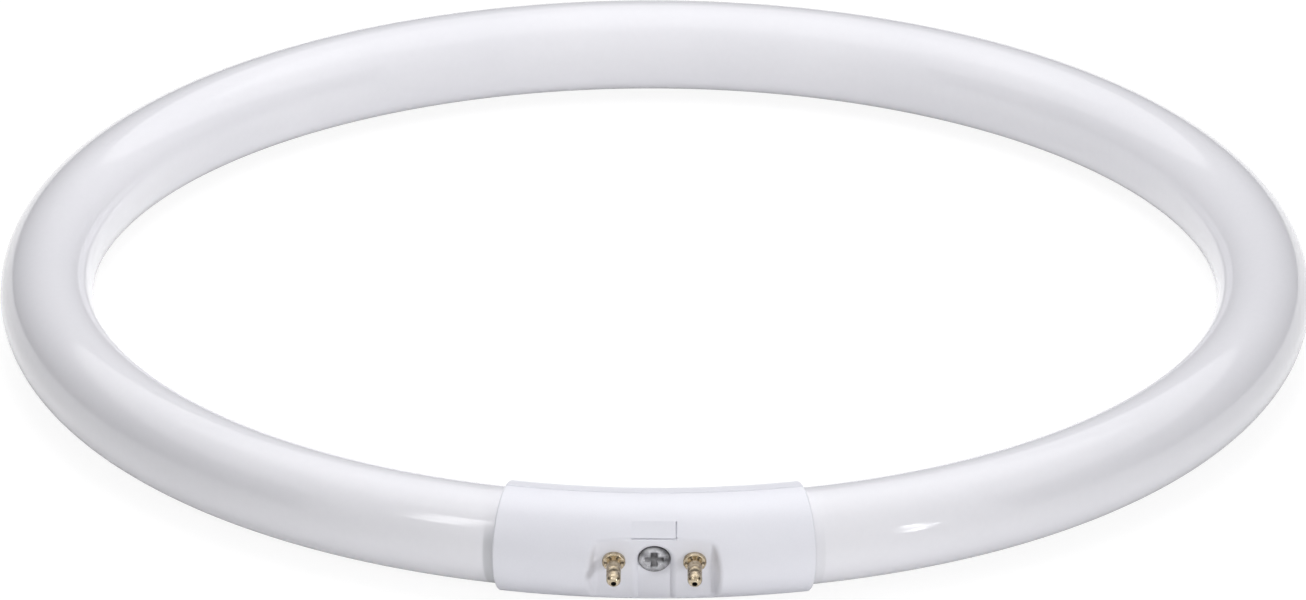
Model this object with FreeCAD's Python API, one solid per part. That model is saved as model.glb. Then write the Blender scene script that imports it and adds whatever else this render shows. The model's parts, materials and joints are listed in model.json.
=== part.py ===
"""Circular fluorescent tube: a sealed glass ring whose two ends meet in a two-part moulded base.

Millimetres and degrees. The pieces are drawn about the ring's centre, with its axis along +Z and the
base at -Y, and are moved at the end so that the origin is the middle of the footprint it lies on.
"Outer" is the side of the base that faces away from the ring's centre, and left is -X.
"""

import FreeCAD, Part
import math
import os

Vector = FreeCAD.Vector

# Glass ring
ring_outer_diameter = 225.0
tube_diameter = 16.0
seal_shoulder_radius = 3.0
exhaust_tip_diameter = 3.6
exhaust_tip_length = 4.0

# Moulded base
base_length = 49.2
base_wall = 0.9
base_rim_radius = 0.3
tube_clearance = 0.15
parting_gap = 0.12
parting_groove = 0.5
seal_clearance = 1.2

# Contact face: the flat on each half of the base that carries the pins
face_depth = 2.35
face_length = 19.4
face_draft = 30.0
face_tilt = 15.0
face_wall = 1.4
face_corner_radius = 0.9
face_rim_radius = 1.0

# Latch notch above the outer contact face, and the key channel that runs down from it
notch_width = 7.4
notch_height = 3.0
notch_depth = 0.5
key_depth = 0.6

# Contact pins
pin_spacing = 13.2
pin_diameter = 2.4
pin_length = 5.8
pin_tip_bore_diameter = 0.9
pin_tip_bore_depth = 0.6
collar_diameter = 3.8
collar_height = 0.7
collar_round = 0.3
rivet_diameter = 3.4
rivet_height = 0.4
tail_diameter = 2.0
tail_length = 2.0
pin_clearance = 0.05

# Screw that clamps the two halves
screw_diameter = 2.9
screw_head_diameter = 5.2
screw_head_rim = 0.8
screw_head_height = 1.6
screw_point_length = 1.0
screw_cover = 2.4
screw_recess_width = 0.8
screw_recess_length = 3.0
screw_recess_depth = 0.8
seat_depth = 0.75
seat_clearance = 0.15
screw_clearance = 0.15
thread_clearance = 0.05
boss_diameter = 5.6

# Lead wires
lead_diameter = 0.8
lead_spacing = 6.4
lead_straight = 2.2

# Sizes that follow from those above
tube_radius = tube_diameter / 2
ring_radius = (ring_outer_diameter - tube_diameter) / 2
bore_radius = tube_radius + tube_clearance
base_radius = bore_radius + base_wall
base_half_angle = math.degrees(base_length / 2 / ring_radius)
face_reach = base_radius - face_depth
tilt_cos = math.cos(math.radians(face_tilt))
draft_tan = math.tan(math.radians(face_draft))
chamber_half_length = face_length / 2 + face_wall / math.cos(math.radians(face_draft)) + draft_tan * face_depth
seal_half_angle = math.degrees((chamber_half_length + seal_clearance) / ring_radius)
tube_half_angle = seal_half_angle + math.degrees(seal_shoulder_radius / ring_radius)

# The screw runs square to the outer contact face and ends short of the inner one
parting_depth = face_reach / tilt_cos
through_depth = 2 * face_reach * tilt_cos / math.cos(math.radians(2 * face_tilt))
screw_reach = through_depth - screw_cover

# How far the tips of the outer pins reach from the ring's axis, and the move to the footprint's middle
pin_tip_angle = math.acos(pin_tip_bore_diameter / pin_diameter)
pin_tip_centre = pin_length - pin_diameter / 2 * math.sin(pin_tip_angle)
pin_tip_lean = max(0.0, math.pi / 2 - pin_tip_angle - math.radians(face_tilt))
pin_tip_reach = pin_tip_centre * tilt_cos + pin_diameter / 2 * math.cos(pin_tip_lean)
front_reach = ring_radius + face_reach + pin_tip_reach
TO_FOOTPRINT = Vector(0, (front_reach - ring_outer_diameter / 2) / 2, base_radius)

ORIGIN = Vector(0, 0, 0)
UP = Vector(0, 0, 1)
SECTION_CENTRE = Vector(0, -ring_radius, 0)

# A contact face's own frame: x along the ring, y up the face, z out of it, origin at the ring's mid height
FACE_PLACE = FreeCAD.Placement(
    SECTION_CENTRE - Vector(0, face_reach, 0), FreeCAD.Rotation(Vector(1, 0, 0), 90 + face_tilt)
)


def on_outer_face(shape):
    """A shape drawn in the contact face's frame, set on the outer face."""
    placed = shape.copy()
    placed.Placement = FACE_PLACE.multiply(placed.Placement)
    return placed


def on_inner_face(shape):
    """The same on the inner face, half a turn round the base's upright centre line."""
    placed = on_outer_face(shape)
    placed.rotate(SECTION_CENTRE, UP, 180)
    return placed


def ring_point(angle, outward=0.0, height=0.0):
    """A point at an angle from the middle of the base, outward from the tube's centre line."""
    turn = math.radians(angle)
    reach = ring_radius + outward
    return Vector(reach * math.sin(turn), -reach * math.cos(turn), height)


def ring_tangent(angle):
    """The ring's direction of rising angle, at that angle."""
    turn = math.radians(angle)
    return Vector(math.cos(turn), math.sin(turn), 0)


def ring_sector(radius, start_angle, end_angle):
    """A round bar of that radius, bent along the ring between two angles."""
    circle = Part.Circle(ring_point(start_angle), ring_tangent(start_angle), radius)
    disc = Part.Face(Part.Wire(circle.toShape()))
    return disc.revolve(ORIGIN, UP, end_angle - start_angle)


def turned(profile):
    """A solid turned about z from (radius, z) points, where a pair in a list is an arc's middle and end."""
    edges = []
    here = profile[0]
    for step in profile[1:]:
        points = [Vector(p[0], 0, p[1]) for p in ([here] + step if isinstance(step, list) else [here, step])]
        edges.append(Part.Arc(*points).toShape() if len(points) == 3 else Part.LineSegment(*points).toShape())
        here = step[-1] if isinstance(step, list) else step
    first = Vector(profile[0][0], 0, profile[0][1])
    edges.append(Part.LineSegment(Vector(here[0], 0, here[1]), first).toShape())
    return Part.Face(Part.Wire(edges)).revolve(ORIGIN, UP, 360)


def corner_arc(radius, z, round_radius):
    """Middle and end of a quarter arc from (radius, z) in and up by round_radius."""
    share = round_radius * math.sqrt(0.5)
    middle = (radius - round_radius + share, z + share)
    return [middle, (radius - round_radius, z + round_radius)]


def glass_end():
    """Sealed end of the tube, drawn along +z: rounded shoulder, flat seal and exhaust tip."""
    tip = exhaust_tip_diameter / 2
    tip_start = seal_shoulder_radius
    tip_straight = tip_start + exhaust_tip_length - tip
    return turned(
        [
            (0, 0),
            (tube_radius, 0),
            corner_arc(tube_radius, 0, seal_shoulder_radius),
            (tip, tip_start),
            (tip, tip_straight),
            corner_arc(tip, tip_straight, tip),
        ]
    )


def make_glass_tube():
    """The glass ring, closed at both ends."""
    glass = ring_sector(tube_radius, tube_half_angle, 360 - tube_half_angle)
    for side in (-1, 1):
        end = glass_end()
        towards_base = ring_tangent(side * tube_half_angle) * -side
        end.Placement = FreeCAD.Placement(
            ring_point(side * tube_half_angle), FreeCAD.Rotation(UP, towards_base)
        )
        glass = glass.fuse(end)
    return glass.removeSplitter()


def face_pocket(half_length, floor, corner_radius):
    """What is cleared above a contact face, with end walls that lean out by the draft."""
    top = floor + 2 * base_radius
    lean = draft_tan * (top - floor)
    corners = [
        Vector(-half_length, -2 * base_radius, floor),
        Vector(half_length, -2 * base_radius, floor),
        Vector(half_length + lean, -2 * base_radius, top),
        Vector(-half_length - lean, -2 * base_radius, top),
    ]
    block = Part.Face(Part.makePolygon(corners + corners[:1])).extrude(Vector(0, 4 * base_radius, 0))
    low = [edge for edge in block.Edges if abs(edge.CenterOfMass.z - floor) < 1e-6 and abs(edge.CenterOfMass.x) > 1e-6]
    return block.makeFillet(corner_radius, low)


def bar(diameter, z_low, z_high, x=0.0):
    """A round bar square to the contact face."""
    return Part.makeCylinder(diameter / 2, z_high - z_low, Vector(x, 0, z_low), UP)


def latch_notch():
    """A shallow recess in the round of the base, just above the outer contact face."""
    face_top = math.asin(face_reach * math.sin(math.radians(90 + face_tilt)) / base_radius)
    top_angle = 90 - face_tilt - math.degrees(face_top)
    middle = top_angle + math.degrees(notch_height / 2 / base_radius)
    block = Part.makeBox(
        notch_width, notch_height, base_wall + notch_depth, Vector(-notch_width / 2, -notch_height / 2, 0)
    )
    out = FreeCAD.Rotation(Vector(1, 0, 0), 90 - middle)
    floor = out.multVec(Vector(0, 0, base_radius - notch_depth))
    block.Placement = FreeCAD.Placement(SECTION_CENTRE + floor, out)
    return block


def key_channel():
    """A shallow channel down the middle of the outer contact face, as wide as the notch."""
    corner = Vector(-notch_width / 2, -2 * base_radius, -key_depth)
    return on_outer_face(Part.makeBox(notch_width, 4 * base_radius, base_radius, corner))


def near_middle(edge):
    """Whether an edge of the sleeve belongs to a contact face's rim."""
    box = edge.BoundBox
    return max(abs(box.XMin), abs(box.XMax)) < chamber_half_length and box.ZLength < 2 * base_radius - face_depth


def parting_groove_ring(side):
    """The fine V groove that marks the parting line along the top (1) or the bottom (-1) of the base."""
    half = parting_groove / 2
    points = [
        Vector(ring_radius - 2 * half, 0, side * (base_radius + half)),
        Vector(ring_radius + 2 * half, 0, side * (base_radius + half)),
        Vector(ring_radius, 0, side * (base_radius - half)),
    ]
    return Part.Face(Part.makePolygon(points + points[:1])).revolve(ORIGIN, UP, 360)


def base_envelope():
    """Outside of the whole base: a round sleeve along the ring with a contact face on each side."""
    sleeve = ring_sector(base_radius, -base_half_angle, base_half_angle)
    ends = [edge for edge in sleeve.Edges if abs(edge.Curve.Radius - base_radius) < 1e-6]
    sleeve = sleeve.makeFillet(base_rim_radius, ends)
    pocket = face_pocket(face_length / 2, 0, face_corner_radius)
    sleeve = sleeve.cut([on_outer_face(pocket), on_inner_face(pocket)])
    outside = [face for face in sleeve.Faces if isinstance(face.Surface, Part.Toroid) and face.Area > base_radius ** 2]
    shared = {edge.hashCode(): edge for face in outside for edge in face.Edges}
    rims = [edge for edge in shared.values() if near_middle(edge)]
    sleeve = sleeve.makeFillet(face_rim_radius, rims)
    return sleeve.cut([latch_notch(), key_channel(), parting_groove_ring(1), parting_groove_ring(-1)])


def base_chamber():
    """Inside of the base: the bore for the glass, narrowed by the walls behind the contact faces."""
    draft = math.radians(face_draft)
    bore = ring_sector(bore_radius, -base_half_angle - 1, base_half_angle + 1)
    half_length = face_length / 2 + face_wall * (1 - math.sin(draft)) / math.cos(draft)
    behind = face_pocket(half_length, -face_wall, face_corner_radius + face_wall)
    return bore.cut([on_outer_face(behind), on_inner_face(behind)])


def make_base_shells():
    """Outer and inner half of the base, parted along the tube's centre line."""
    envelope = base_envelope()
    boss = on_outer_face(bar(boss_diameter, -through_depth, -face_wall / 2)).common(envelope)
    base = envelope.cut(base_chamber()).fuse(boss).removeSplitter()

    seat = bar(screw_head_diameter + 2 * seat_clearance, -seat_depth, base_radius)
    clearance_hole = bar(screw_diameter + 2 * screw_clearance, -parting_depth, 0)
    thread_hole = bar(screw_diameter + 2 * thread_clearance, -screw_reach - thread_clearance, 0)
    pin_holes = [
        bar(pin_diameter + 2 * pin_clearance, -2 * face_wall, face_wall, side * pin_spacing / 2) for side in (-1, 1)
    ]
    holes = [on_outer_face(hole) for hole in (seat, clearance_hole, thread_hole, *pin_holes)]
    holes += [on_inner_face(hole) for hole in pin_holes]
    base = base.cut(holes)

    inside = Part.makeCylinder(ring_radius - parting_gap / 2, 4 * base_radius, Vector(0, 0, -2 * base_radius))
    gap = Part.makeCylinder(ring_radius + parting_gap / 2, 4 * base_radius, Vector(0, 0, -2 * base_radius))
    return base.cut(gap), base.common(inside)


def contact_pin():
    """A turned brass pin: tail, riveted flange, shank, collar on the face, and the round-ended contact."""
    shank = pin_diameter / 2
    collar = collar_diameter / 2
    bore = pin_tip_bore_diameter / 2
    rivet_low = -face_wall - rivet_height
    tip_middle = (shank * math.cos(pin_tip_angle / 2), pin_tip_centre + shank * math.sin(pin_tip_angle / 2))
    return turned(
        [
            (0, rivet_low - tail_length),
            (tail_diameter / 2, rivet_low - tail_length),
            (tail_diameter / 2, rivet_low),
            (rivet_diameter / 2, rivet_low),
            (rivet_diameter / 2, -face_wall),
            (shank, -face_wall),
            (shank, 0),
            (collar, 0),
            (collar, collar_height - collar_round),
            corner_arc(collar, collar_height - collar_round, collar_round),
            (shank, collar_height),
            (shank, pin_tip_centre),
            [tip_middle, (bore, pin_length)],
            (bore, pin_length - pin_tip_bore_depth),
            (0, pin_length - pin_tip_bore_depth),
        ]
    )


def make_pins():
    """The four contact pins by name."""
    pins = {}
    for side, word in ((-1, "left"), (1, "right")):
        pin = contact_pin()
        pin.translate(Vector(side * pin_spacing / 2, 0, 0))
        pins["pin_outer_" + word] = on_outer_face(pin)
        pin = contact_pin()
        pin.translate(Vector(-side * pin_spacing / 2, 0, 0))
        pins["pin_inner_" + word] = on_inner_face(pin)
    return pins


def make_screw():
    """Pan head screw with a cross recess, square to the outer contact face."""
    head = screw_head_diameter / 2
    shank = screw_diameter / 2
    top = screw_head_height - seat_depth
    rim = screw_head_rim - seat_depth
    dome = top - rim
    dome_radius = (head ** 2 + dome ** 2) / (2 * dome)
    half_way = math.asin(head / dome_radius) / 2
    dome_middle = (dome_radius * math.sin(half_way), top - dome_radius * (1 - math.cos(half_way)))
    screw = turned(
        [
            (0, -screw_reach),
            (shank, -screw_reach + screw_point_length),
            (shank, -seat_depth),
            (head, -seat_depth),
            (head, rim),
            [dome_middle, (0, top)],
        ]
    )
    for length, width in (
        (screw_recess_length, screw_recess_width),
        (screw_recess_width, screw_recess_length),
    ):
        slot = Part.makeBox(
            length, width, screw_head_height, Vector(-length / 2, -width / 2, top - screw_recess_depth)
        )
        screw = screw.cut(slot)
    return on_outer_face(screw)


def bent_wire(points, diameter):
    """A round wire along straight runs joined by arcs as large as the runs allow."""
    edges = []
    here = points[0]
    for before, corner, after in zip(points, points[1:], points[2:]):
        back = (before - corner).normalize()
        ahead = (after - corner).normalize()
        shorter = min((before - corner).Length, (after - corner).Length)
        leave = 0.45 * shorter
        half_turn = (math.pi - back.getAngle(ahead)) / 2
        radius = leave / math.tan(half_turn)
        inward = (back + ahead).normalize() * (radius / math.cos(half_turn) - radius)
        start = corner + back * leave
        end = corner + ahead * leave
        edges.append(Part.LineSegment(here, start).toShape())
        edges.append(Part.Arc(start, corner + inward, end).toShape())
        here = end
    edges.append(Part.LineSegment(here, points[-1]).toShape())
    circle = Part.Circle(points[0], (points[1] - points[0]).normalize(), diameter / 2)
    return Part.Wire(edges).makePipeShell([Part.Wire(circle.toShape())], True, True)


def make_leads():
    """A lead wire from each sealed end to the tail of each pin beside it."""
    leads = {}
    tail_end = -face_wall - rivet_height - tail_length
    for side, word in ((-1, "left"), (1, "right")):
        for place, set_on, across, height in (
            ("outer", on_outer_face, side, lead_spacing / 2),
            ("inner", on_inner_face, -side, -lead_spacing / 2),
        ):
            away = ring_tangent(side * tube_half_angle) * -side
            seal = ring_point(side * tube_half_angle, 0, height) + away * seal_shoulder_radius
            ends = [Part.Vertex(across * pin_spacing / 2, 0, z) for z in (tail_end - lead_straight, tail_end)]
            corner, tail = (set_on(end).Point for end in ends)
            leads["lead_" + place + "_" + word] = bent_wire(
                [seal, seal + away * lead_straight, corner, tail], lead_diameter
            )
    return leads


def main():
    os.makedirs("parts", exist_ok=True)
    outer_shell, inner_shell = make_base_shells()
    pieces = {
        "glass_tube": make_glass_tube(),
        "base_outer_shell": outer_shell,
        "base_inner_shell": inner_shell,
        "base_screw": make_screw(),
    }
    pieces.update(make_pins())
    pieces.update(make_leads())
    for name, shape in pieces.items():
        print(name, len(shape.Solids), "solid", round(shape.Volume, 1), "mm3", "valid", shape.isValid())
        shape.translate(TO_FOOTPRINT)
        shape.exportStep("parts/" + name + ".step")


main()
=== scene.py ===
"""Circular fluorescent tube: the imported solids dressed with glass, moulded plastic, brass and steel.

Laid out as an add-on and run as a script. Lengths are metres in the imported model's own frame: +Z is up
along the ring's axis, and the base that joins the tube's ends faces -Y.
"""

import json
import math

import bpy
import numpy as np
from bpy.props import FloatProperty, FloatVectorProperty, IntProperty, PointerProperty
from mathutils import Matrix, Vector


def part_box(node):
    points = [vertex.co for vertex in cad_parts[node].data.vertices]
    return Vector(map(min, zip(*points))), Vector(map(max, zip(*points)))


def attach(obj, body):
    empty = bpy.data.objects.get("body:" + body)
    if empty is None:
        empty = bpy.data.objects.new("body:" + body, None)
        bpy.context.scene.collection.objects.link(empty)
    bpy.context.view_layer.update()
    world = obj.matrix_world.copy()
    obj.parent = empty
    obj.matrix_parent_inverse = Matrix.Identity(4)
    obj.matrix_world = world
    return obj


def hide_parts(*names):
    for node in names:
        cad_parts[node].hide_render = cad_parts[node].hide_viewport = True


bl_info = {
    "name": "Circular Fluorescent Tube",
    "version": (1, 0, 0),
    "blender": (4, 5, 0),
    "location": "3D View > Sidebar > Ring Lamp",
    "description": "Builds a ring-shaped fluorescent tube and a plain studio around its packed solids",
    "category": "Add Mesh",
}

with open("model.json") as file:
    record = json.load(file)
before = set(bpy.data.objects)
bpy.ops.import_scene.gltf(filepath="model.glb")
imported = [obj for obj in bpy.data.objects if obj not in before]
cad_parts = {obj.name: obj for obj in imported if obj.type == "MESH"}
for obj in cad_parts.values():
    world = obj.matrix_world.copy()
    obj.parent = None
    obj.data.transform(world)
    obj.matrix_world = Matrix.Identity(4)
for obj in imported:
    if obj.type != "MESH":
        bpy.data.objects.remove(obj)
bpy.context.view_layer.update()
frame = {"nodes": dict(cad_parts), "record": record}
MOUNTS = {mount["name"]: mount for mount in frame["record"]["mounts"]}

BODY = "root"
TUBE_CLIP = MOUNTS["tube_clip"]
TUBE_RADIUS = TUBE_CLIP["dims"]["r_mm"] / 1000
RING_RADIUS = round((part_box("glass_tube")[1].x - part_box("glass_tube")[0].x) / 2 - TUBE_RADIUS, 4)
RING_CENTRE = Vector((0.0, TUBE_CLIP["pos_m"][1] - RING_RADIUS, TUBE_CLIP["pos_m"][2]))
BASE_CENTRE = np.array(RING_CENTRE) - (0.0, RING_RADIUS, 0.0)
PIN_NAMES = ["pin_outer_left", "pin_outer_right", "pin_inner_left", "pin_inner_right"]
LEAD_NAMES = [name.replace("pin", "lead") for name in PIN_NAMES]

# The photograph's frame, in pixels, and where the ring's centre lies in it
IMAGE_WIDTH, IMAGE_HEIGHT = 1306, 600
RING_CENTRE_PIXEL = (655.2, 281.0)

# Grid rows and columns in the stretches of the shapes
SEAL_ROUND_ROWS = 12
RIM_SIDE_ROWS, RIM_TOP_ROWS, RIM_COLUMNS = 13, 25, 17
RAMP_ROWS = 25
COLLAR_ROUND_ROWS, COLLAR_FLAT_ROWS, CONTACT_ROWS, TIP_ROWS, BORE_ROWS = 7, 8, 40, 14, 2
THREAD_ROWS, HEAD_EDGE_ROWS, HEAD_TOP_ROWS = 100, 8, 50
FLAG_STEPS = 49

# Share of a hollow's width that the piece in it fills
HOLLOW_FIT = 0.998
# Shares of the channel's depth at which the rim's inner edge and its foot lie
RIM_EDGE_DROP, RIM_FOOT_DROP = 0.95, 0.99
# Share of the tip hole's depth at which its straight wall starts
BORE_START = 0.1
# Shares of the shank's radius at which a pin's stake marks start and a screw's point ends
STAKE_START, POINT_END = 1.02, 0.2
# Share of the recess's width over which its edge is soft
RECESS_SOFTNESS = 0.3
# Share of the head's radius at which the painted shade on its edge starts
EDGE_SHADE_START = 0.75
# How dark the painted shade is in the crimp, in the stake marks and on the screw, from 0 to 1
CRIMP_SHADE, STAKE_SHADE, SCREW_SHADE = 0.9, 0.8, 0.6
# An even power, which makes the stake marks narrower the higher it is
STAKE_POWER = 8


# Settings that a user would change


def metres(name, description, default):
    """A length."""
    return FloatProperty(name=name, description=description, default=default, unit="LENGTH")


def angle(name, description, default):
    """An angle, held in radians and shown in degrees."""
    return FloatProperty(name=name, description=description, default=default, subtype="ANGLE")


def watts(name, description, default):
    """The power of a light."""
    return FloatProperty(name=name, description=description, default=default, min=0.0, unit="POWER")


def count(name, description, default, least):
    """A whole number with a least value."""
    return IntProperty(name=name, description=description, default=default, min=least)


def tint(name, description, default):
    """A colour in linear values."""
    return FloatVectorProperty(name=name, description=description, default=default, subtype="COLOR")


class GlassSettings(bpy.types.PropertyGroup):
    seal_round: metres("Seal shoulder", "Radius of the rounded shoulder at each sealed end", 0.003)
    seal_angle: angle(
        "Sealed end",
        "Angle from the middle of the base to where the straight sealed end starts",
        math.radians(9.251),
    )
    tip_radius: metres("Exhaust tip", "Radius of the sealed-off tip", 0.0018)
    tip_length: metres("Tip length", "How far the tip stands out of the seal", 0.004)
    ring_steps: count("Steps round the ring", "Grid rows along the tube", 360, 48)
    end_steps: count("Steps at an end", "Finer grid rows at each end", 48, 8)
    section_steps: count("Steps round the tube", "Grid columns round the tube", 96, 16)
    coating: tint("Coating", "Colour of the white powder behind the glass", (0.83, 0.825, 0.86))
    coating_thin: tint("Thin coating", "Colour where the powder lies thinner", (0.79, 0.787, 0.825))
    # The bare-end colour, angle, fade, height and share paint the base's shadow onto the tube beside its
    # ends, stronger at the left end and on the lower half
    end_shadow_colour: tint("Bare ends", "Colour where the powder ends, beside the base", (0.60, 0.605, 0.63))
    end_angle: angle(
        "Coating's end",
        "Angle from the middle of the base to the end of the full coating",
        math.radians(14.3),
    )
    end_fade: angle("Fade", "Angle over which the coating comes in", math.radians(0.2))
    end_height: metres("Bare height", "Height over the ring's plane at which the coating comes in", 0.0035)
    end_shadow_share: FloatVectorProperty(
        name="Bare share",
        description="How bare the left and the right end are",
        size=2,
        default=(0.9, 0.25),
        min=0.0,
        max=1.0,
    )
    wall_tint: tint("Glass tint", "Tint of the clear glass wall in front of the coating", (0.95, 0.95, 0.957))


class BaseSettings(bpy.types.PropertyGroup):
    plastic: tint("Plastic", "Colour of the moulded base", (0.755, 0.757, 0.812))
    plastic_shade: tint(
        "Plastic shade", "Slightly greyer colour in the flow marks of the moulding", (0.73, 0.732, 0.788)
    )
    # The base lies on the ground, so its radius is the height of the ring's plane
    section_radius: metres("Section", "Radius of the base's round section", RING_CENTRE.z)
    notch_width: metres("Notch width", "Width of the notch over the contact face and of the channel", 0.0074)
    notch_height: metres("Notch height", "Height of that notch", 0.003)
    notch_depth: metres("Notch depth", "Depth of the notch at its middle", 0.0005)
    notch_angle: angle(
        "Notch angle", "Angle of the notch's middle above the ring's plane", math.radians(38.85)
    )
    ramp_gap: metres(
        "Ramp gap", "Groove left at the right and the lower edge of the notch's sloping floor", 0.00022
    )
    ramp_lip: metres("Ramp lip", "Height of the sloping floor's lower edge", 0.0002)
    channel_depth: metres("Channel depth", "Depth of the channel in the contact face", 0.0006)
    channel_width: metres("Channel floor", "Width of the channel inside its soft rim", 0.0053)
    channel_top: metres("Rim top", "Upper end of the rim over the screw's axis", 0.00437)
    channel_bottom: metres("Rim bottom", "Lower end of the rim under the screw's axis", 0.008)


class PinSettings(bpy.types.PropertyGroup):
    length: metres("Length", "From the contact face to the tip", 0.0058)
    tip_bore: metres("Tip hole", "Radius of the hole in the tip", 0.00045)
    tip_bore_depth: metres("Tip hole depth", "Depth of the hole in the tip", 0.0006)
    collar_radius: metres("Collar", "Radius of the collar on the contact face", 0.0019)
    collar_height: metres("Collar height", "Height of the collar", 0.0007)
    collar_round: metres("Collar rounding", "Radius of the collar's upper edge", 0.0003)
    collar_stakes: count("Stake marks", "Marks of the staking tool round the collar", 6, 0)
    stake_depth: metres("Stake depth", "Depth of those marks", 0.00016)
    crimp_height: metres("Crimp height", "From the contact face to the crimp that grips the lead", 0.0034)
    crimp_depth: metres("Crimp depth", "Depth of that crimp", 0.00026)
    crimp_width: metres("Crimp width", "Half its width along the pin", 0.0003)
    wall: metres("Wall", "Thickness of the wall that the pin is riveted to", 0.0014)
    rivet_radius: metres("Rivet", "Radius of the riveted flange behind the wall", 0.0017)
    rivet_height: metres("Rivet height", "Height of that flange", 0.0004)
    tail_radius: metres("Tail", "Radius of the tail that the lead joins", 0.001)
    tail_length: metres("Tail length", "Length of that tail", 0.002)
    columns: count("Steps round the pin", "Grid columns round a pin", 72, 24)
    brass: tint("Brass", "Colour of the polished pins", (0.74, 0.635, 0.48))
    brass_dull: tint("Dull brass", "Colour of the handled pins", (0.29, 0.23, 0.145))


class ScrewSettings(bpy.types.PropertyGroup):
    head_radius: metres("Head", "Radius of the head", 0.0026)
    seat_depth: metres("Seat depth", "From the contact face down to the head's seat", 0.00075)
    edge_depth: metres("Edge depth", "From the contact face down to where the head's edge is rounded", 0.0004)
    edge_round: metres("Edge rounding", "Radius of the head's upper edge", 0.00025)
    crown: metres("Crown", "Rise of the head's top", 0.00012)
    recess_length: metres("Recess length", "Length of the cross recess", 0.003)
    recess_width: metres("Recess width", "Width of the cross recess", 0.001)
    recess_depth: metres("Recess depth", "Depth of the cross recess at its middle", 0.0006)
    shank_radius: metres("Shank", "Radius over the thread", 0.00145)
    thread_depth: metres("Thread depth", "Depth of the thread", 0.0002)
    thread_pitch: metres("Thread pitch", "Rise in one turn", 0.0011)
    point_length: metres("Point", "Length of the point", 0.001)
    columns: count("Steps round the screw", "Grid columns round the screw", 120, 24)
    steel: tint("Steel", "Colour of the plated screw", (0.66, 0.66, 0.69))
    steel_dull: tint("Dull steel", "Colour of the duller plating", (0.13, 0.13, 0.14))


class LeadSettings(bpy.types.PropertyGroup):
    tin: tint("Tinned wire", "Colour of the lead wires", (0.7, 0.7, 0.71))
    tin_dull: tint("Dull tin", "Colour of the duller tin", (0.595, 0.595, 0.6035))


class StageSettings(bpy.types.PropertyGroup):
    distance: metres("Distance", "From the ring's centre to the camera", 1.887)
    elevation: angle("Elevation", "Camera height as an angle", math.radians(24.18))
    roll: angle("Roll", "Turn of the camera about its view", 0.0034)
    focal_pixels: FloatProperty(
        name="Focal length", description="Focal length in pixels of the photograph", default=10967.0
    )
    surroundings: FloatProperty(
        name="Surroundings", description="Even light from all sides", default=0.15, min=0.0
    )
    top_power: watts("Top", "Overhead softbox", 4.4)
    centre_power: watts("Centre", "Light over the ring", 1.08)
    back_power: watts("Back", "Light from behind", 4.8)
    key_power: watts("Key", "Light from the right", 2.85)
    fill_power: watts("Fill", "Light from beside the camera", 3.75)
    right_power: watts("Right strip", "Each gridded light at the right", 0.0004)
    left_power: watts("Left strip", "Each gridded light at the left", 0.007)


# A dark dull finish that paints shade into the metal's hollows: the pins' tip holes, crimps and stake marks,
# and the screw's recess and the edge of its head
class PaintedShadeSettings(bpy.types.PropertyGroup):
    colour: tint("Painted Shade", "Colour of the metal in its hollows", (0.035, 0.032, 0.03))
    roughness: FloatProperty(
        name="Roughness", description="Roughness of the metal in its hollows", default=0.7, subtype="FACTOR"
    )


class LampSettings(bpy.types.PropertyGroup):
    glass: PointerProperty(type=GlassSettings)
    base: PointerProperty(type=BaseSettings)
    pins: PointerProperty(type=PinSettings)
    screw: PointerProperty(type=ScrewSettings)
    leads: PointerProperty(type=LeadSettings)
    soil: PointerProperty(type=PaintedShadeSettings)
    stage: PointerProperty(type=StageSettings)


# Surfaces on a grid


def column_angles(columns):
    """The angle of each column of a grid, evenly round one turn."""
    return 2 * np.pi * np.arange(columns) / columns


def grid_faces(rows, columns):
    """Quads of a grid whose columns close on themselves: (i, j), (i, j+1), (i+1, j+1), (i+1, j)."""
    i, j = np.meshgrid(np.arange(rows - 1), np.arange(columns), indexing="ij")
    after = (j + 1) % columns
    corners = (i * columns + j, i * columns + after, (i + 1) * columns + after, (i + 1) * columns + j)
    return np.stack(corners, axis=-1).reshape(-1, 4)


def fan_faces(pole, start, columns, at_first_row):
    """Triangles from a pole to the row of vertices that begins at start, facing out of the grid's end."""
    j = np.arange(columns)
    ring = (start + j, start + (j + 1) % columns)
    near, far = ring if at_first_row else ring[::-1]
    return np.stack((np.full(columns, pole), far, near), axis=-1)


def closed_grid(points, poles):
    """Vertices and faces of a grid of points, rows by columns, closed round and by a pole at each end."""
    rows, columns = points.shape[:2]
    vertices = np.vstack((points.reshape(-1, 3), poles))
    first, last = rows * columns, rows * columns + 1
    faces = grid_faces(rows, columns).tolist()
    faces += fan_faces(first, 0, columns, True).tolist()
    faces += fan_faces(last, (rows - 1) * columns, columns, False).tolist()
    return vertices, faces


def lofted_tube(centres, across, over, radii, columns):
    """A closed tube: centre(i) + radius(i) * (cos(2 pi j / n) * across(i) + sin(2 pi j / n) * over(i)).

    The rows run along across x over, so the faces point outward. A pole closes each end at its row's centre.
    """
    turn = column_angles(columns)
    rays = np.cos(turn)[None, :, None] * across[:, None, :] + np.sin(turn)[None, :, None] * over[:, None, :]
    points = centres[:, None, :] + radii[:, None, None] * rays
    return closed_grid(points, centres[[0, -1]])


def turned_grid(place, heights, radii, poles):
    """A closed turned piece: foot + z * axis + r * (cos a * side + sin a * up), with z and r on a grid.

    The place is that foot with its directions, and the poles are the heights at which the axis leaves it.
    """
    foot, side, up, axis = place
    turn = column_angles(radii.shape[1])
    rays = np.cos(turn)[:, None] * side + np.sin(turn)[:, None] * up
    points = foot + heights[:, :, None] * axis + radii[:, :, None] * rays[None, :, :]
    return closed_grid(points, foot + np.array(poles)[:, None] * axis)


def link_object(name, data):
    """A new object in the scene that holds a mesh, a light or a camera."""
    item = bpy.data.objects.new(name, data)
    bpy.context.scene.collection.objects.link(item)
    return item


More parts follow.
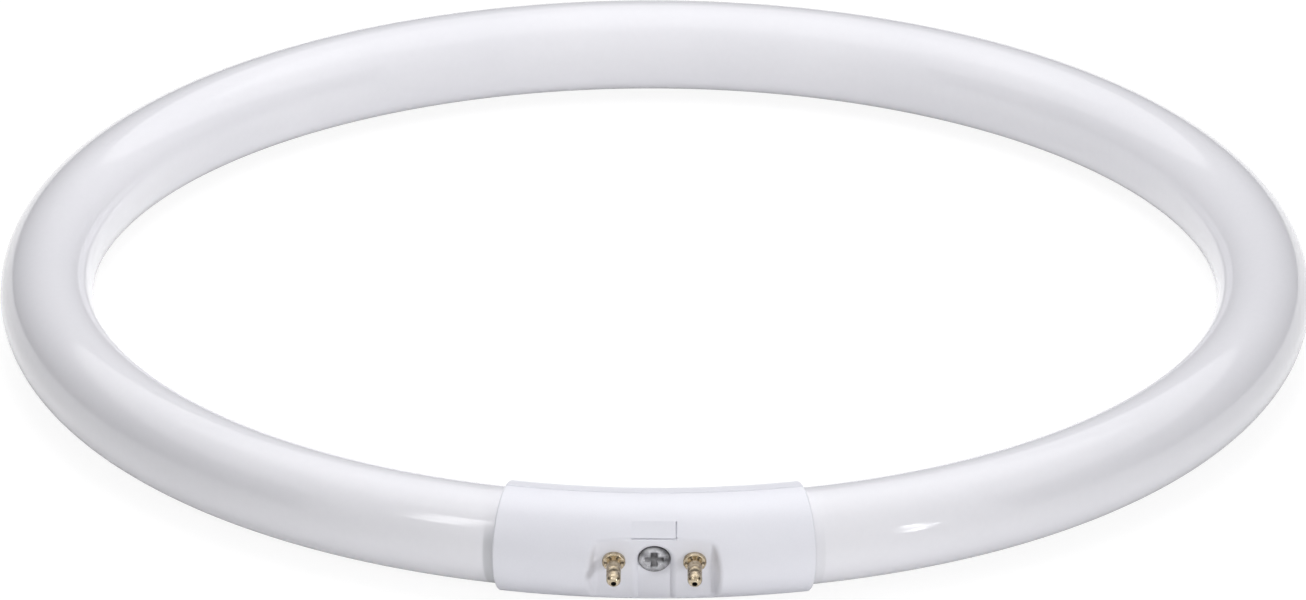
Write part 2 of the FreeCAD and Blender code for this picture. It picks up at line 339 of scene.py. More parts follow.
def new_piece(name, vertices, faces, material, slot, sharp_angle, **masks):
    """A smooth mesh object at the origin that rides on the lamp. A mask has one value for each vertex."""
    mesh = bpy.data.meshes.new(name)
    mesh.from_pydata(vertices.tolist(), [], faces)
    mesh.shade_smooth()
    mesh.set_sharp_from_angle(angle=sharp_angle)
    for mask, values in masks.items():
        mesh.attributes.new(mask, "FLOAT", "POINT").data.foreach_set("value", values.astype(np.float32))
    mesh.materials.append(material)
    mesh.update()
    piece = link_object(name, mesh)
    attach(piece, BODY)
    return piece


# Shared effects and materials


def set_inputs(node, values):
    """Set the inputs of a node by their names."""
    for name, value in values.items():
        node.inputs[name].default_value = value


def add_node(tree, kind, x, y, inputs=None, **settings):
    """A node at a place in the tree, with its settings and the values of its inputs."""
    node = tree.nodes.new(kind)
    node.location = (x, y)
    for key, value in settings.items():
        setattr(node, key, value)
    set_inputs(node, inputs or {})
    return node


def colour_mix(tree, x, y):
    """A mix of two colours: its factor, the sockets of the two colours and that of their mix."""
    mix = add_node(tree, "ShaderNodeMix", x, y, data_type="RGBA")
    first, second = [socket for socket in mix.inputs if socket.type == "RGBA"]
    mixed = next(socket for socket in mix.outputs if socket.type == "RGBA")
    return mix.inputs["Factor"], first, second, mixed


def new_group(name, inputs, outputs):
    """A shader node group with named sockets, and its input and output nodes."""
    group = bpy.data.node_groups.new(name, "ShaderNodeTree")
    for direction, sockets in (("INPUT", inputs), ("OUTPUT", outputs)):
        for socket, kind in sockets.items():
            group.interface.new_socket(name=socket, in_out=direction, socket_type="NodeSocket" + kind)
    return group, add_node(group, "NodeGroupInput", -600, 0), add_node(group, "NodeGroupOutput", 500, 0)


def mottling_group():
    """Soft clouds with fine grain in them, as a mask from 0 to 1 and as a value between two limits."""
    inputs = {"Vector": "Vector", "Cloud Scale": "Float", "Grain Scale": "Float"}
    inputs |= {"Grain Share": "Float", "Low": "Float", "High": "Float"}
    group, source, target = new_group("Mottling", inputs, {"Mask": "Float", "Value": "Float"})
    cloud = add_node(group, "ShaderNodeTexNoise", -350, 150, {"Detail": 3.0})
    grain = add_node(group, "ShaderNodeTexNoise", -350, -150, {"Detail": 2.0})
    mix = add_node(group, "ShaderNodeMix", -100, 50)
    spread = add_node(group, "ShaderNodeMapRange", 100, 50, {"From Min": 0.3, "From Max": 0.7})
    limits = add_node(group, "ShaderNodeMapRange", 300, -100)
    links = (
        (source, "Vector", cloud, "Vector"),
        (source, "Vector", grain, "Vector"),
        (source, "Cloud Scale", cloud, "Scale"),
        (source, "Grain Scale", grain, "Scale"),
        (source, "Grain Share", mix, "Factor"),
        (cloud, "Fac", mix, "A"),
        (grain, "Fac", mix, "B"),
        (mix, "Result", spread, "Value"),
        (spread, "Result", limits, "Value"),
        (source, "Low", limits, "To Min"),
        (source, "High", limits, "To Max"),
        (spread, "Result", target, "Mask"),
        (limits, "Result", target, "Value"),
    )
    for start, output, end, entry in links:
        group.links.new(start.outputs[output], end.inputs[entry])
    return group


def soil_group():
    """A finish that gives way to a dark dull one, painted shade, where a mask rises from 0 to 1."""
    inputs = {"Mask": "Float", "Colour": "Color", "Painted Shade Colour": "Color"}
    inputs |= {"Roughness": "Float", "Painted Shade Roughness": "Float"}
    group, source, target = new_group("Painted Shade", inputs, {"Colour": "Color", "Roughness": "Float"})
    factor, clean, dirty, mixed = colour_mix(group, 0, 150)
    gloss = add_node(group, "ShaderNodeMix", 0, -150)
    link = group.links.new
    link(source.outputs["Mask"], factor)
    link(source.outputs["Mask"], gloss.inputs["Factor"])
    link(source.outputs["Colour"], clean)
    link(source.outputs["Painted Shade Colour"], dirty)
    link(source.outputs["Roughness"], gloss.inputs["A"])
    link(source.outputs["Painted Shade Roughness"], gloss.inputs["B"])
    link(mixed, target.inputs["Colour"])
    link(gloss.outputs["Result"], target.inputs["Roughness"])
    return group


def soiled(material):
    """Pass a material's colour and roughness through the painted shade effect, by the piece's painted shade
    attribute.
    """
    settings = bpy.context.scene.ring_lamp.soil
    tree = material.node_tree
    shader = tree.nodes["Principled BSDF"]
    group = bpy.data.node_groups.get("Painted Shade") or soil_group()
    values = {"Painted Shade Colour": (*settings.colour, 1.0), "Painted Shade Roughness": settings.roughness}
    soil = add_node(tree, "ShaderNodeGroup", -100, 150, values, node_tree=group)
    mask = add_node(tree, "ShaderNodeAttribute", -450, 500, attribute_name="soil")
    tree.links.new(mask.outputs["Fac"], soil.inputs["Mask"])
    for socket, target in (("Colour", "Base Color"), ("Roughness", "Roughness")):
        tree.links.new(shader.inputs[target].links[0].from_socket, soil.inputs[socket])
        tree.links.new(soil.outputs[socket], shader.inputs[target])


def new_material(name):
    """A new material, its node tree and the Principled shader that it starts with."""
    material = bpy.data.materials.new(name)
    material.use_nodes = True
    return material, material.node_tree, material.node_tree.nodes["Principled BSDF"]


def mottled_material(name, first, second, values):
    """A material with mottled colour and roughness on Object coordinates, its tree, shader and mask."""
    material, tree, shader = new_material(name)
    place = add_node(tree, "ShaderNodeTexCoord", -900, 0)
    group = bpy.data.node_groups.get("Mottling") or mottling_group()
    mottle = add_node(tree, "ShaderNodeGroup", -650, 0, values, node_tree=group)
    factor, first_colour, second_colour, mixed = colour_mix(tree, -300, 200)
    first_colour.default_value = (*first, 1.0)
    second_colour.default_value = (*second, 1.0)
    tree.links.new(place.outputs["Object"], mottle.inputs["Vector"])
    tree.links.new(mottle.outputs["Mask"], factor)
    tree.links.new(mixed, shader.inputs["Base Color"])
    tree.links.new(mottle.outputs["Value"], shader.inputs["Roughness"])
    return material, tree, shader, mottle.outputs["Mask"]


def grain_bump(tree, shader, height, strength, distance):
    """A fine relief on the surface from a mask."""
    bump = add_node(tree, "ShaderNodeBump", -300, -300, {"Strength": strength, "Distance": distance})
    tree.links.new(height, bump.inputs["Height"])
    tree.links.new(bump.outputs["Normal"], shader.inputs["Normal"])


def coated_glass(settings):
    """White powder behind a clear glossy wall, which is the shader's coat, with a painted shadow of the base
    on the tube beside its ends.
    """
    values = {"Cloud Scale": 28.0, "Grain Scale": 900.0, "Grain Share": 0.25, "Low": 0.5, "High": 0.62}
    colours = settings.coating, settings.coating_thin
    material, tree, shader, _ = mottled_material("coated_glass", *colours, values)
    # The painted shadow of the base's ends, read from the glass's attribute
    bare = add_node(tree, "ShaderNodeAttribute", -550, 450, attribute_name="bare_end")
    factor, powder, end, mixed = colour_mix(tree, -150, 350)
    end.default_value = (*settings.end_shadow_colour, 1.0)
    tree.links.new(bare.outputs["Fac"], factor)
    tree.links.new(shader.inputs["Base Color"].links[0].from_socket, powder)
    tree.links.new(mixed, shader.inputs["Base Color"])
    wall = {"Coat Weight": 1.0, "Coat Roughness": 0.075, "Coat IOR": 1.5}
    set_inputs(shader, {"Specular IOR Level": 0.3, **wall, "Coat Tint": (*settings.wall_tint, 1.0)})
    return material


def moulded_plastic(settings):
    """White moulded plastic with faint flow marks, an uneven gloss and a fine skin."""
    values = {"Cloud Scale": 110.0, "Grain Scale": 3200.0, "Grain Share": 0.45, "Low": 0.3, "High": 0.42}
    colours = settings.plastic, settings.plastic_shade
    material, tree, shader, mask = mottled_material("moulded_plastic", *colours, values)
    grain_bump(tree, shader, mask, strength=0.12, distance=0.00005)
    set_inputs(shader, {"IOR": 1.5})
    return material


def metal(name, bright, dull, values, relief):
    """A metal that is brighter where it is rubbed and duller between."""
    material, tree, shader, mask = mottled_material(name, bright, dull, values)
    grain_bump(tree, shader, mask, strength=0.2, distance=relief)
    set_inputs(shader, {"Metallic": 1.0})
    return material


def dress(node_names, material):
    """Give CAD nodes whose shape is right a better material."""
    for name in node_names:
        mesh = frame["nodes"][name].data
        mesh.materials.clear()
        mesh.materials.append(material)


# Pieces


def contact_place(node):
    """Where a pin leaves its contact face, then its directions across and up the face and out of it."""
    mount = MOUNTS[node.replace("pin", "contact")]
    collar = bpy.context.scene.ring_lamp.pins.collar_height
    length = mount["dims"]["length_mm"] / 1000
    axis = np.array(mount["axis"])
    side = np.array((-np.sign(axis[1]), 0.0, 0.0))
    foot = np.array(mount["pos_m"]) - axis * (collar + length / 2)
    return foot, side, np.cross(axis, side), axis


def screw_place():
    """The same for the screw, which stands midway between the two outer pins."""
    foot, side, up, axis = contact_place("pin_outer_left")
    return (foot + contact_place("pin_outer_right")[0]) / 2, side, up, axis


class RINGLAMP_OT_glass(bpy.types.Operator):
    """Bend the glass tube into its ring and close both ends"""

    bl_idname = "ringlamp.glass"
    bl_label = "Glass Ring"

    def execute(self, context):
        settings = context.scene.ring_lamp.glass
        centres, across, radii = self.path(settings)
        down = np.broadcast_to((0.0, 0.0, -1.0), across.shape)
        vertices, faces = lofted_tube(centres, across, down, radii, settings.section_steps)
        glass = coated_glass(settings)
        # Painted shadow of the base's ends on the glass, stronger at the left and lower down
        bare = self.bare_ends(settings, vertices)
        sharp = math.radians(50)
        piece = new_piece("glass_ring", vertices, faces, glass, "coated_glass", sharp, bare_end=bare)
        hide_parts("glass_tube")
        return {"FINISHED"}

    @staticmethod
    def bare_ends(settings, vertices):
        """How dark the painted shadow of the base's ends is on the glass: the end's share times s(along)
        times s(below), where s(t) = t^2 (3 - 2t).

        Both fall from 1 to 0, the first one along the ring and the second one towards the top of the tube.
        """
        x, y = vertices[:, 0] - RING_CENTRE.x, RING_CENTRE.y - vertices[:, 1]
        z = vertices[:, 2] - RING_CENTRE.z
        last = settings.end_angle + settings.end_fade
        along = np.clip((last - np.abs(np.arctan2(x, y))) / settings.end_fade, 0, 1)
        below = np.clip(0.5 + (settings.end_height - z) / settings.end_height, 0, 1)
        share = np.where(x < 0, settings.end_shadow_share[0], settings.end_shadow_share[1])
        return share * along**2 * (3 - 2 * along) * below**2 * (3 - 2 * below)

    @staticmethod
    def path(settings):
        """Rows of the tube: the ring R * (sin a, -cos a), and at each end a profile along the tangent.

        An end's profile is a quarter round off the tube, a flat seal, a straight tip and its rounded end.
        """
        shoulder, tip = settings.seal_round, settings.tip_radius
        quarter = np.linspace(0, np.pi / 2, SEAL_ROUND_ROWS)
        tip_straight = shoulder + settings.tip_length - tip
        tip_round = tip_straight + tip * np.sin(quarter[1:-1])
        narrowing = TUBE_RADIUS - shoulder * (1 - np.cos(quarter[1:]))
        reach = np.concatenate((shoulder * np.sin(quarter[1:]), (shoulder, tip_straight), tip_round))
        radius = np.concatenate((narrowing, (tip, tip), tip * np.cos(quarter[1:-1])))
        fine_end = settings.end_angle + 2 * settings.end_fade
        fine = np.linspace(settings.seal_angle, fine_end, settings.end_steps)
        middle = np.linspace(fine[-1], 2 * np.pi - fine[-1], settings.ring_steps + 1)
        angles = np.concatenate((fine[:-1], middle, 2 * np.pi - fine[-2::-1]))
        outward = np.stack((np.sin(angles), -np.cos(angles), np.zeros_like(angles)), axis=-1)
        along = np.stack((np.cos(angles), np.sin(angles), np.zeros_like(angles)), axis=-1)
        ring = np.array(RING_CENTRE) + RING_RADIUS * outward
        first_end = ring[0] - reach[::-1, None] * along[0]
        last_end = ring[-1] + reach[:, None] * along[-1]
        ends = len(reach)
        centres = np.vstack((first_end, ring, last_end))
        across = np.vstack((np.tile(outward[0], (ends, 1)), outward, np.tile(outward[-1], (ends, 1))))
        radii = np.concatenate((radius[::-1], np.full(len(ring), TUBE_RADIUS), radius))
        return centres, across, radii


class RINGLAMP_OT_base(bpy.types.Operator):
    """Finish the base in white plastic, with the sloping floor of its notch and the rim of its channel"""

    bl_idname = "ringlamp.base"
    bl_label = "Moulded Base"

    def execute(self, context):
        settings = context.scene.ring_lamp.base
        plastic = moulded_plastic(settings)
        dress(["base_outer_shell", "base_inner_shell"], plastic)
        vertices, faces = self.notch_ramp(settings)
        new_piece("notch_ramp", vertices, faces, plastic, "base_plastic", sharp_angle=math.radians(20))
        vertices, faces = self.channel_rim(settings)
        new_piece("channel_rim", vertices, faces, plastic, "base_plastic", sharp_angle=math.radians(50))
        return {"FINISHED"}

    @staticmethod
    def notch_ramp(settings):
        """The sloping floor of the notch: a wedge from the base's round down to a lip near the lower edge.

        Its section has four corners: the upper edge on the round, the lip, its foot and the corner under the
        upper edge. The upper edge follows the sleeve's bend: x^2 / (2 R) further in at x.
        """
        half_width, half_height = HOLLOW_FIT * settings.notch_width / 2, settings.notch_height / 2
        floor = settings.section_radius - settings.notch_depth
        out = np.array((0.0, -math.cos(settings.notch_angle), math.sin(settings.notch_angle)))
        rise = np.array((0.0, math.sin(settings.notch_angle), math.cos(settings.notch_angle)))
        x = np.linspace(-half_width, half_width - settings.ramp_gap, RAMP_ROWS)
        brim = math.sqrt(settings.section_radius**2 - half_height**2) + out[1] * x**2 / (2 * RING_RADIUS)
        along = BASE_CENTRE + x[:, None] * np.array((1.0, 0.0, 0.0))
        upper = along + brim[:, None] * out + half_height * rise
        corner = along + floor * out + half_height * rise
        foot = along + floor * out - (half_height - settings.ramp_gap) * rise
        lip = foot + settings.ramp_lip * out
        points = np.stack((upper, lip, foot, corner), axis=1)
        return closed_grid(points, points[[0, -1]].mean(axis=1))

    @staticmethod
    def channel_rim(settings):
        """The channel's soft rim: a horseshoe up its right side, round the screw and down its left side.

        Each row runs from the rim's inner edge out to the channel's wall. At the distance d from that edge
        its top lies drop * (1 - d / reach)^2 under the contact face, and past the reach level with the face.
        """
        middle, side, up, axis = screw_place()
        inner, wall = settings.channel_width / 2, HOLLOW_FIT * settings.notch_width / 2
        corner = math.atan2(settings.channel_top, wall)
        sides = np.linspace(0, corner, RIM_SIDE_ROWS)
        over = np.linspace(corner, np.pi - corner, RIM_TOP_ROWS)
        turn = np.concatenate((sides, over[1:-1], np.pi - sides[::-1]))
        rays = np.stack((np.cos(turn), np.sin(turn)), axis=-1)
        hits = rays / np.maximum(np.abs(rays[:, :1]) / wall, rays[:, 1:] / settings.channel_top)
        low = -settings.channel_bottom
        inside = np.vstack(((inner, low), inner * rays, (-inner, low)))
        outside = np.vstack(((wall, low), hits, (-wall, low)))
        share = np.linspace(0, 1, RIM_COLUMNS)
        flat = inside[:, None, :] + share[None, :, None] * (outside - inside)[:, None, :]
        distance = share[None, :] * np.linalg.norm(outside - inside, axis=1)[:, None]
        drop = RIM_EDGE_DROP * settings.channel_depth * np.clip(1 - distance / (wall - inner), 0, 1) ** 2
        foot = np.full((len(drop), 2), RIM_FOOT_DROP * settings.channel_depth)
        flat = np.concatenate((flat, outside[:, None, :], inside[:, None, :]), axis=1)
        drop = np.concatenate((drop, foot), axis=1)
        points = middle + flat[..., :1] * side + flat[..., 1:] * up - drop[..., None] * axis
        return closed_grid(points, points[[0, -1]].mean(axis=1))


class RINGLAMP_OT_pins(bpy.types.Operator):
    """Turn the four contact pins, with their staked collars, crimps and hollow tips"""

    bl_idname = "ringlamp.pins"
    bl_label = "Contact Pins"

    def execute(self, context):
        settings = context.scene.ring_lamp.pins
        values = {"Cloud Scale": 1700.0, "Grain Scale": 6000.0, "Grain Share": 0.2, "Low": 0.14, "High": 0.3}
        brass = metal("polished_brass", settings.brass, settings.brass_dull, values, relief=0.00002)
        soiled(brass)
        sharp = math.radians(35)
        for node in PIN_NAMES:
            shank = MOUNTS[node.replace("pin", "contact")]["dims"]["r_mm"] / 1000
            vertices, faces, soil = self.turned_pin(settings, shank, contact_place(node))
            piece = new_piece("brass_" + node, vertices, faces, brass, "pin_brass", sharp, soil=soil)
            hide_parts(node)
        return {"FINISHED"}

    @staticmethod
    def profile(settings, shank):
        """Height and radius of a pin's rows: tail, rivet, collar, contact, rounded tip and the hole in it."""
        collar, rounding, bore = settings.collar_radius, settings.collar_round, settings.tip_bore
        quarter = np.linspace(0, np.pi / 2, COLLAR_ROUND_ROWS)
        bore_angle = np.arccos(bore / shank)
        tip = np.linspace(0, bore_angle, TIP_ROWS)
        tip_centre = settings.length - shank * np.sin(bore_angle)
        rivet_low = -settings.wall - settings.rivet_height
        collar_flat = np.linspace(collar - rounding, shank, COLLAR_FLAT_ROWS)[1:]
        contact = np.linspace(settings.collar_height, tip_centre, CONTACT_ROWS)[1:-1]
        rim = settings.collar_height - rounding
        height = np.concatenate(
            (
                (rivet_low - settings.tail_length, rivet_low, rivet_low, -settings.wall),
                (-settings.wall, 0.0, 0.0),
                rim + rounding * np.sin(quarter),
                np.full(len(collar_flat), settings.collar_height),
                contact,
                tip_centre + shank * np.sin(tip),
                settings.length - np.array((BORE_START, 1.0)) * settings.tip_bore_depth,
            )
        )
        radius = np.concatenate(
            (
                (settings.tail_radius, settings.tail_radius, settings.rivet_radius, settings.rivet_radius),
                (shank, shank, collar),
                collar - rounding * (1 - np.cos(quarter)),
                collar_flat,
                np.full(len(contact), shank),
                shank * np.cos(tip),
                np.full(BORE_ROWS, bore),
            )
        )
        return height, radius

    def turned_pin(self, settings, shank, place):
        """A pin turned from its profile, with its marks, and painted shade in its hole and marks.

        The crimp takes depth * exp(-((z - height) / width)^2) * sin(a)^2 off r on the contact's upper half,
        and the stake marks take depth * cos(n a / 2)^8 off z on the collar's flat.
        """
        height, radius = self.profile(settings, shank)
        turn = column_angles(settings.columns)
        on_contact = (height > settings.collar_height) & (np.arange(len(height)) < len(height) - BORE_ROWS)
        crimp = np.exp(-(((height - settings.crimp_height) / settings.crimp_width) ** 2)) * on_contact
        upper = np.clip(np.sin(turn), 0, None) ** 2
        radii = radius[:, None] - settings.crimp_depth * crimp[:, None] * upper[None, :]
        on_flat = np.isclose(height, settings.collar_height)
        on_flat &= (radius < settings.collar_radius) & (radius > shank * STAKE_START)
        stakes = np.cos(settings.collar_stakes * turn / 2) ** STAKE_POWER
        heights = height[:, None] - settings.stake_depth * on_flat[:, None] * stakes[None, :]
        # Painted shade: the crimp's upper half, the stake marks and the tip hole are darkened as if shaded
        crimp_soil = CRIMP_SHADE * crimp[:, None] * upper[None, :]
        stake_soil = STAKE_SHADE * on_flat[:, None] * stakes[None, :]
        soil = np.maximum(crimp_soil, stake_soil)
        soil[-BORE_ROWS:] = 1.0
        vertices, faces = turned_grid(place, heights, radii, (height[0], height[-1]))
        return vertices, faces, np.append(soil.ravel(), (0.0, 1.0))


class RINGLAMP_OT_screw(bpy.types.Operator):
    """Turn the screw that closes the base, with its cross recess and its thread"""

    bl_idname = "ringlamp.screw"
    bl_label = "Screw"

    def execute(self, context):
        settings = context.scene.ring_lamp.screw
        values = {"Cloud Scale": 750.0, "Grain Scale": 5000.0, "Grain Share": 0.15, "Low": 0.22, "High": 0.45}
        steel = metal("plated_steel", settings.steel, settings.steel_dull, values, relief=0.00004)
        soiled(steel)
        place = screw_place()
        foot, axis = place[0], place[-1]
        mesh = frame["nodes"]["base_screw"].data
        corners = np.empty(3 * len(mesh.vertices), dtype=np.float32)
        mesh.vertices.foreach_get("co", corners)
        reach = -((corners.reshape(-1, 3) - foot) @ axis).min()
        vertices, faces, soil = self.turned_screw(settings, reach, place)
        sharp = math.radians(40)
        piece = new_piece("steel_screw", vertices, faces, steel, "screw_steel", sharp, soil=soil)
        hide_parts("base_screw")
        return {"FINISHED"}

    @staticmethod
    def profile(settings, reach):
        """Height and radius of the screw's rows, from its point along the thread to the head's middle."""
        shank, head, rounding = settings.shank_radius, settings.head_radius, settings.edge_round
        quarter = np.linspace(0, np.pi / 2, HEAD_EDGE_ROWS)
        flat = head - rounding
        thread = np.linspace(settings.point_length - reach, -settings.seat_depth, THREAD_ROWS)
        top = np.linspace(1, 0, HEAD_TOP_ROWS)[1:-1]
        height = np.concatenate(
            (
                (-reach,),
                thread,
                (-settings.seat_depth,),
                rounding * np.sin(quarter) - settings.edge_depth,
                rounding - settings.edge_depth + settings.crown * (1 - top**2),
            )
        )
        radius = np.concatenate(
            (
                (POINT_END * shank,),
                np.full(THREAD_ROWS, shank),
                (head,),
                flat + rounding * np.cos(quarter),
                flat * top,
            )
        )
        return height, radius

    @staticmethod
    def slot(settings, across, along):
        """One slot of the cross recess, from 0 outside it to 1 inside, with a soft edge."""
        half_width, half_length = settings.recess_width / 2, settings.recess_length / 2
        inside = np.minimum(half_width - np.abs(across), half_length - np.abs(along))
        return np.clip(0.5 + inside / (RECESS_SOFTNESS * settings.recess_width), 0, 1)

    def turned_screw(self, settings, reach, place):
        """A screw turned from its profile, with its thread and recess, and painted shade on its head.

        The thread takes depth * (1 + cos(2 pi z / pitch - a)) / 2 off r along the shank. The recess takes
        depth * (1 - d / length) off z at the distance d from the axis, inside two slots at right angles.
        """
        height, radius = self.profile(settings, reach)
        rows = np.arange(len(radius))
        turn = column_angles(settings.columns)
        on_shank = (rows > 0) & (rows < THREAD_ROWS)
        helix = 2 * np.pi * height[:, None] / settings.thread_pitch - turn[None, :]
        radii = radius[:, None] - settings.thread_depth * on_shank[:, None] * (1 + np.cos(helix)) / 2
        across, along = radii * np.cos(turn), radii * np.sin(turn)
        rim = settings.edge_round - settings.edge_depth
        cross = np.maximum(self.slot(settings, across, along), self.slot(settings, along, across))
        hollow = cross * (height > rim)[:, None]
        heights = height[:, None] - settings.recess_depth * hollow * (1 - radii / settings.recess_length)
        bottom = rim + settings.crown - settings.recess_depth
        # Painted shade in the cross recess and round the head's edge, where it sits in its seat
        on_head = rows > THREAD_ROWS
        outer = (radius / settings.head_radius - EDGE_SHADE_START) / (1 - EDGE_SHADE_START)
        edge = np.clip(outer, 0, 1) * on_head
        soil = np.maximum(SCREW_SHADE * hollow, SCREW_SHADE * edge[:, None])
        vertices, faces = turned_grid(place, heights, radii, (-reach, bottom))
        return vertices, faces, np.append(soil.ravel(), (0.0, SCREW_SHADE))


class RINGLAMP_OT_leads(bpy.types.Operator):
    """Finish the lead wires inside the base in tin"""

    bl_idname = "ringlamp.leads"
    bl_label = "Lead Wires"

    def execute(self, context):
        settings = context.scene.ring_lamp.leads
        values = {"Cloud Scale": 500.0, "Grain Scale": 4000.0, "Grain Share": 0.5, "Low": 0.3, "High": 0.45}
        dress(LEAD_NAMES, metal("tinned_wire", settings.tin, settings.tin_dull, values, relief=0.00002))
        return {"FINISHED"}


class RINGLAMP_OT_stage(bpy.types.Operator):
    """Set up the pale floor, the soft lights and the camera"""

    bl_idname = "ringlamp.stage"
    bl_label = "Studio"

    def execute(self, context):
        settings = context.scene.ring_lamp.stage
        self.add_floor()
        self.add_world(context.scene, settings.surroundings)
        self.add_large_lights(settings)
        self.add_streak_lights(settings)
        self.add_flag()
        self.add_camera(context.scene, settings)
        context.scene.view_settings.view_transform = "Standard"
        return {"FINISHED"}

    @staticmethod
    def seen_rays(tree):
        """Is Camera Ray, and the same for all rays that show the background: camera, glossy, transmission."""
        rays = add_node(tree, "ShaderNodeLightPath", -900, 300)
        first = add_node(tree, "ShaderNodeMath", -700, 300, operation="MAXIMUM")
        second = add_node(tree, "ShaderNodeMath", -500, 300, operation="MAXIMUM")
        tree.links.new(rays.outputs["Is Camera Ray"], first.inputs[0])
        tree.links.new(rays.outputs["Is Glossy Ray"], first.inputs[1])
        tree.links.new(first.outputs[0], second.inputs[0])
        tree.links.new(rays.outputs["Is Transmission Ray"], second.inputs[1])
        return rays.outputs["Is Camera Ray"], second.outputs[0]

    def add_floor(self):
        """A square pale floor that looks white and keeps a soft shadow."""
        half = 4.0
        corners = [(-half, -half, 0), (half, -half, 0), (half, half, 0), (-half, half, 0)]
        mesh = bpy.data.meshes.new("floor")
        mesh.from_pydata(corners, [], [(0, 1, 2, 3)])
        floor = link_object("floor", mesh)
        material, tree, shader = new_material("pale_floor")
        tree.nodes.remove(shader)
        is_camera, is_seen = self.seen_rays(tree)
        plain = add_node(tree, "ShaderNodeBsdfDiffuse", -300, -150, {"Color": (0.92, 0.92, 0.92, 1)})
        reflected = self.pale_surface(tree, glow=0.2, grey=0.85, y=100)
        direct = self.pale_surface(tree, glow=0.9, grey=0.16, y=400)
        pale = add_node(tree, "ShaderNodeMixShader", 100, 200)
        mix = add_node(tree, "ShaderNodeMixShader", 250, 0)
        link = tree.links.new
        link(is_camera, pale.inputs[0])
        link(reflected, pale.inputs[1])
        link(direct, pale.inputs[2])
        link(is_seen, mix.inputs[0])
        link(plain.outputs[0], mix.inputs[1])
        link(pale.outputs[0], mix.inputs[2])
        link(mix.outputs[0], tree.nodes["Material Output"].inputs["Surface"])
        mesh.materials.append(material)

    @staticmethod
    def pale_surface(tree, glow, grey, y):
        """A white look made of a glow and a grey that takes the object's shadow."""
        emission = add_node(tree, "ShaderNodeEmission", -300, y + 100, {"Strength": glow})
        diffuse = add_node(tree, "ShaderNodeBsdfDiffuse", -300, y, {"Color": (grey, grey, grey, 1)})
        both = add_node(tree, "ShaderNodeAddShader", -100, y)
        tree.links.new(emission.outputs[0], both.inputs[0])
        tree.links.new(diffuse.outputs[0], both.inputs[1])
        return both.outputs[0]

    def add_world(self, scene, strength):
        """Even light from all sides, which looks white where it is seen."""
        world = bpy.data.worlds.new("studio")
        scene.world = world
        world.use_nodes = True
        tree = world.node_tree
        background = tree.nodes["Background"]
        set_inputs(background, {"Color": (1, 1, 1, 1)})
        level = add_node(tree, "ShaderNodeMapRange", -200, 100, {"To Min": strength, "To Max": 1.0})
        tree.links.new(self.seen_rays(tree)[1], level.inputs["Value"])
        tree.links.new(level.outputs["Result"], background.inputs["Strength"])

    def add_large_lights(self, settings):
        """The softbox that the tube mirrors along its far side, and four lights that nothing mirrors."""
        ring, base = RING_CENTRE, Vector(BASE_CENTRE)
        top = {"azimuth": 180, "elevation": 80, "distance": 1.3, "size": (1.6, 1.3)}
        centre = {"azimuth": 0, "elevation": 89, "distance": 0.42, "size": (0.3, 0.3)}
        back = {"azimuth": 180, "elevation": 50, "distance": 1.2, "size": (1.0, 0.6)}
        key = {"azimuth": 45, "elevation": 6, "distance": 1.2, "size": (0.2, 0.2)}
        fill = {"azimuth": 5, "elevation": 22, "distance": 1.6, "size": (1.0, 0.6)}
        self.add_softbox("top_softbox", settings.top_power, ring, **top)
        self.add_softbox("centre_light", settings.centre_power, ring, **centre, mirrored=False)
        self.add_softbox("back_light", settings.back_power, ring, **back, mirrored=False)
        self.add_softbox("key_light", settings.key_power, base, **key, mirrored=False)
        self.add_softbox("fill_light", settings.fill_power, ring, **fill, mirrored=False)

    def add_streak_lights(self, settings):
        """Gridded lights that the tube mirrors as a bright streak on each side of the base."""
        streak = math.radians(22.2)
        right = RING_CENTRE + (RING_RADIUS + TUBE_RADIUS) * Vector((math.sin(streak), -math.cos(streak), 0))
        left = Vector(BASE_CENTRE)
        strip = {"azimuth": 43.7, "distance": 0.5, "spread": 12, "aim": right + Vector((-0.016, -0.015, 0))}
        for elevation, width in ((4.5, 0.045), (9.5, 0.11), (14.5, 0.045)):
            strip |= {"elevation": elevation, "size": (width, 0.05)}
            self.add_softbox("right_strip", settings.right_power, right, **strip)
        strip = {"azimuth": -39.7, "distance": 1.2, "spread": 16, "aim": left + Vector((-0.06, -0.1, 0))}
        for elevation in (35, 41, 47):
            strip |= {"elevation": elevation, "size": (0.36, 0.14)}
            self.add_softbox("left_strip", settings.left_power, left, **strip)

    @staticmethod
    def add_softbox(
        name, power, target, azimuth, elevation, distance, size, spread=180, aim=None, mirrored=True
    ):
        """A soft light at a distance from a point, in degrees: azimuth 0 is the camera's side and 90 is +X.

        It is a rectangle that faces the point or, with an aim, an ellipse that faces the aim.
        """
        light = bpy.data.lights.new(name, "AREA")
        light.shape = "RECTANGLE" if aim is None else "ELLIPSE"
        light.size, light.size_y = size
        light.spread = math.radians(spread)
        light.energy = power
        box = link_object(name, light)
        turn, rise = math.radians(azimuth), math.radians(elevation)
        way = Vector((math.sin(turn) * math.cos(rise), -math.cos(turn) * math.cos(rise), math.sin(rise)))
        place = target + distance * way
        away = way if aim is None else place - aim
        box.matrix_world = Matrix.Translation(place) @ away.to_track_quat("Z", "Y").to_matrix().to_4x4()
        box.visible_camera = False
        box.visible_glossy = mirrored

